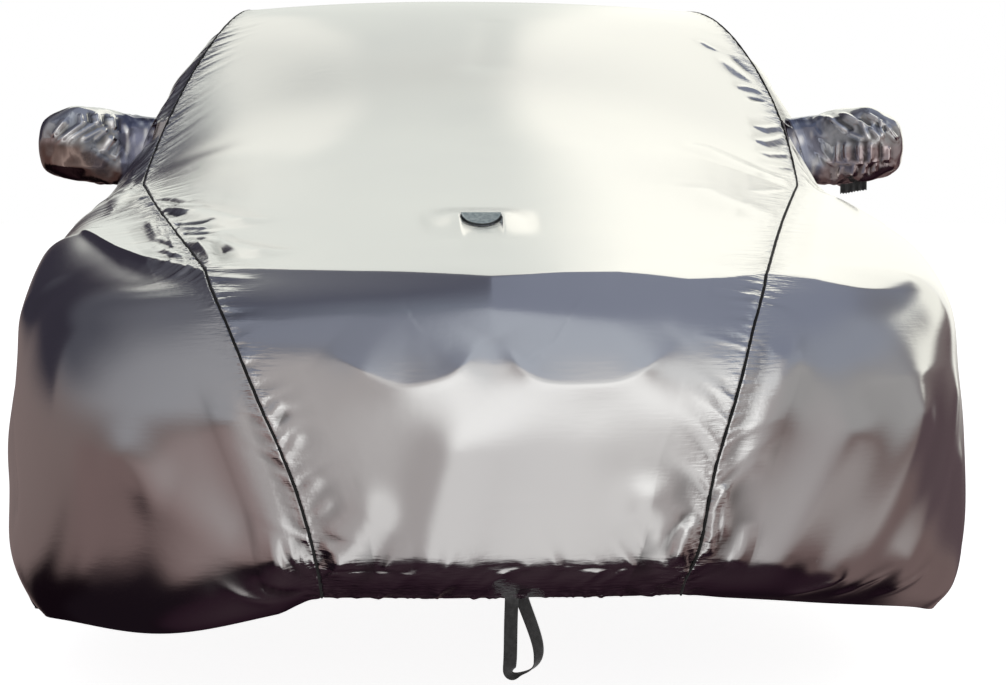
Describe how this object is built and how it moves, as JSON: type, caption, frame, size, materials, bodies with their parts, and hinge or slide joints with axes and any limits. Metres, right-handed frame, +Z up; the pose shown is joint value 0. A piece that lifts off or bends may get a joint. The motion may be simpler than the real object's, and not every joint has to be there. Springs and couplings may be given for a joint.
{
  "type": "car cover",
  "caption": "Fitted car cover of coated cloth with piped seams, mirror pockets, a gathered hem and a webbing loop at the front.",
  "frame": {"origin": "inner face of the cloth at the middle of the roof, where the car's roof holds the cover up", "axes": "+Z up, -Y towards the front of the car, +X to the right in the front view"},
  "size_m": [2.089, 4.9073, 1.3423],
  "materials": {
    "silver_cloth": "aluminium-coated woven cloth, satin and softly reflecting",
    "black_piping": "black piping, matte",
    "black_webbing": "black woven webbing, matte",
    "grey_patch": "grey-blue woven patch with a darker edge"
  },
  "bodies": {
    "root": {"centre_panel": "silver_cloth", "side_panel_left": "silver_cloth", "side_panel_right": "silver_cloth", "mirror_pocket_left": "silver_cloth", "mirror_pocket_right": "silver_cloth", "piping_left": "black_piping", "piping_right": "black_piping", "pocket_tab_right": "black_webbing", "front_strap": "black_webbing", "half_moon_patch": "grey_patch"}
  },
  "joints": []
}
